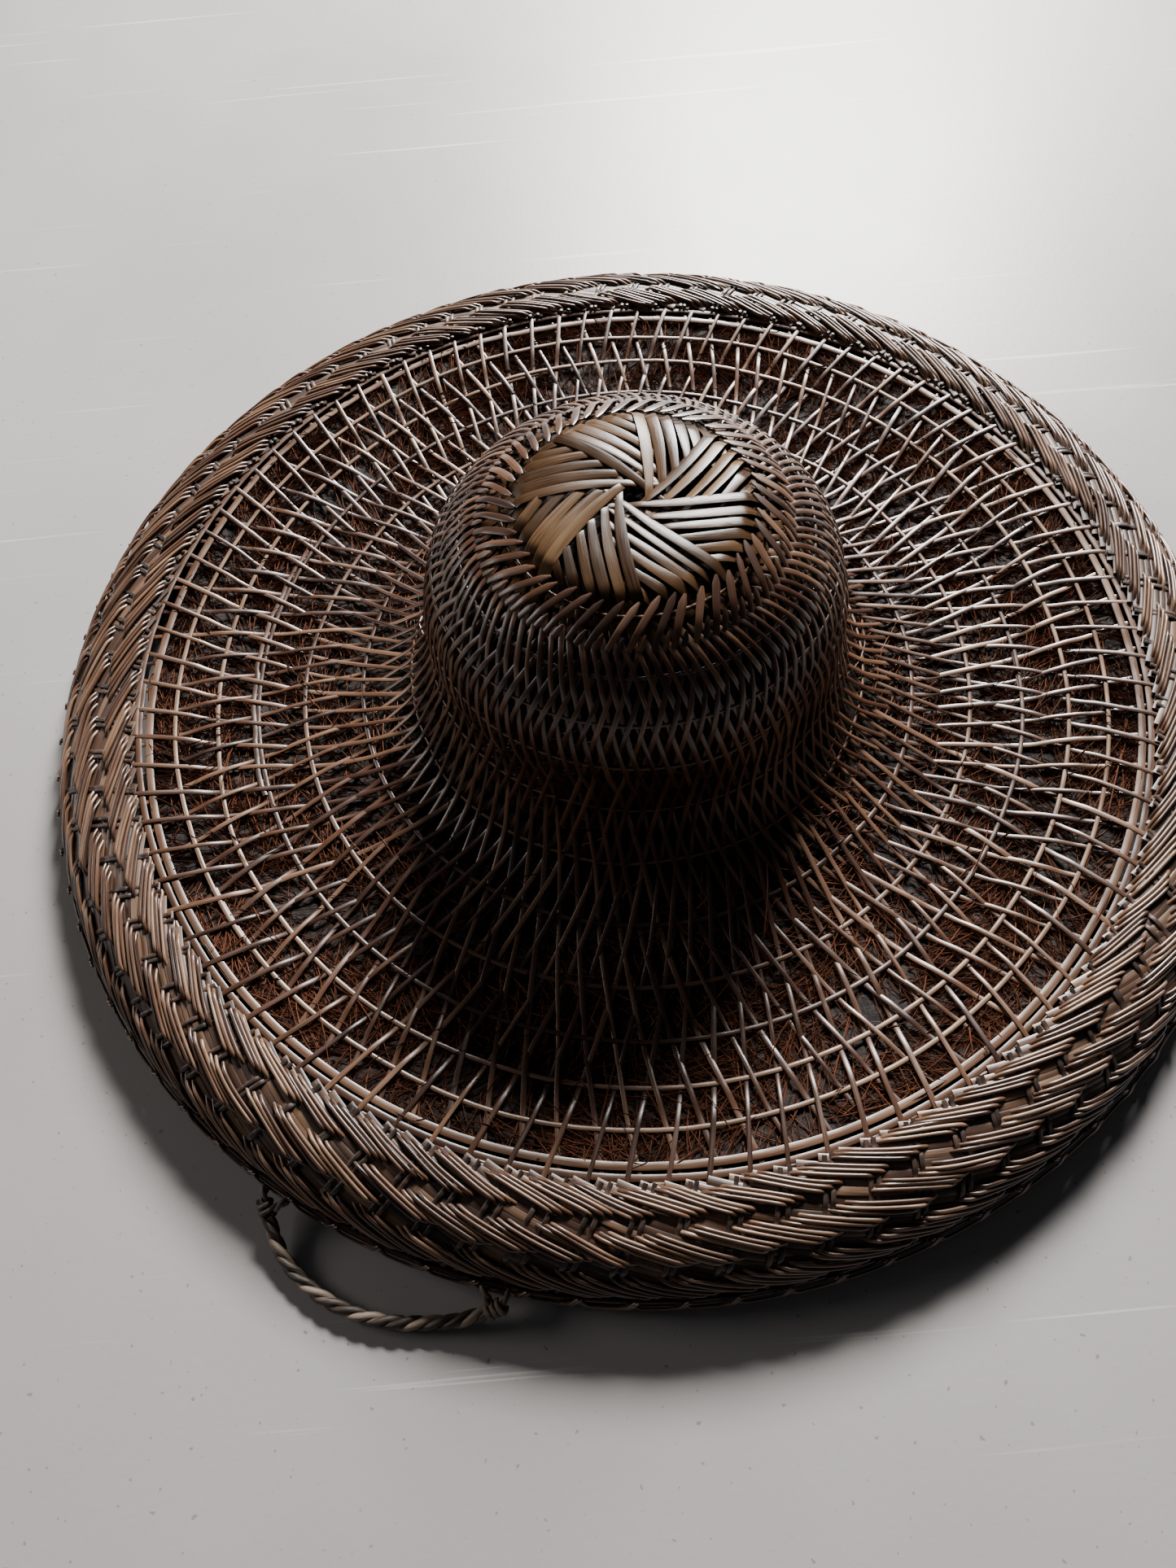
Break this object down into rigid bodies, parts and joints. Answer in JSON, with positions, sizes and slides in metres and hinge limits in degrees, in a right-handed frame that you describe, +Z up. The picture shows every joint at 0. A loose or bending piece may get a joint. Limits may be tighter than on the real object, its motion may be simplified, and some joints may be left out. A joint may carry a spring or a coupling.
{
  "type": "conical hat",
  "caption": "Wide-brimmed woven bamboo hat with a domed crown, palm-fibre lining, plaited rolled rim and a short cord loop for hanging it up.",
  "frame": {"origin": "on the floor under the crown's centre, in the plane that the rim stands on", "axes": "+Z up along the crown's axis; the cord loop lies towards -X and -Y"},
  "size_m": [0.5402, 0.5402, 0.133],
  "materials": {
    "outer_splint_bamboo": "aged split bamboo, satin, dark reddish brown with tan worn faces",
    "crown_strip_bamboo": "polished bamboo skin, glossy olive brown",
    "inner_splint_bamboo": "split bamboo, matt brown",
    "rim_bamboo": "round-edged bamboo strands, satin, worn pale on the high spots",
    "palm_fibre": "matted dark brown palm fibre",
    "cord_fibre": "twisted dark grey-brown fibre cord"
  },
  "bodies": {
    "root": {"brim_hoop_1": "outer_splint_bamboo", "brim_hoop_2": "outer_splint_bamboo", "brim_hoop_3": "outer_splint_bamboo", "brim_hoop_4": "outer_splint_bamboo", "brim_hoop_5": "outer_splint_bamboo", "brim_lining_inner": "palm_fibre", "brim_lining_outer": "palm_fibre", "crown_hoop_1": "outer_splint_bamboo", "crown_hoop_2": "outer_splint_bamboo", "crown_hoop_3": "outer_splint_bamboo", "crown_hoop_4": "outer_splint_bamboo", "crown_hoop_5": "outer_splint_bamboo", "crown_lining_top": "palm_fibre", "crown_lining_shoulder": "palm_fibre", "crown_lining_wall": "palm_fibre", "crown_ring": "outer_splint_bamboo", "hanging_loop": "cord_fibre", "inner_hoop_1": "inner_splint_bamboo", "inner_hoop_2": "inner_splint_bamboo", "inner_hoop_3": "inner_splint_bamboo", "inner_hoop_4": "inner_splint_bamboo", "inner_hoop_5": "inner_splint_bamboo", "inner_splints_anticlockwise": "inner_splint_bamboo", "inner_splints_clockwise": "inner_splint_bamboo", "loop_knot_left": "cord_fibre", "loop_knot_right": "cord_fibre", "outer_splints_anticlockwise": "outer_splint_bamboo", "outer_splints_clockwise": "outer_splint_bamboo", "pinwheel_arm_1": "crown_strip_bamboo", "pinwheel_arm_2": "crown_strip_bamboo", "pinwheel_arm_3": "crown_strip_bamboo", "pinwheel_arm_4": "crown_strip_bamboo", "pinwheel_arm_5": "crown_strip_bamboo", "pinwheel_arm_6": "crown_strip_bamboo", "pinwheel_arm_7": "crown_strip_bamboo", "pinwheel_arm_8": "crown_strip_bamboo", "rim_base_hoop": "rim_bamboo", "rim_border_strands": "rim_bamboo", "rim_core": "palm_fibre", "rim_inner_strip_lower": "rim_bamboo", "rim_inner_strip_upper": "rim_bamboo", "rim_lacing": "rim_bamboo", "rim_lower_hoop": "rim_bamboo"}
  },
  "joints": []
}
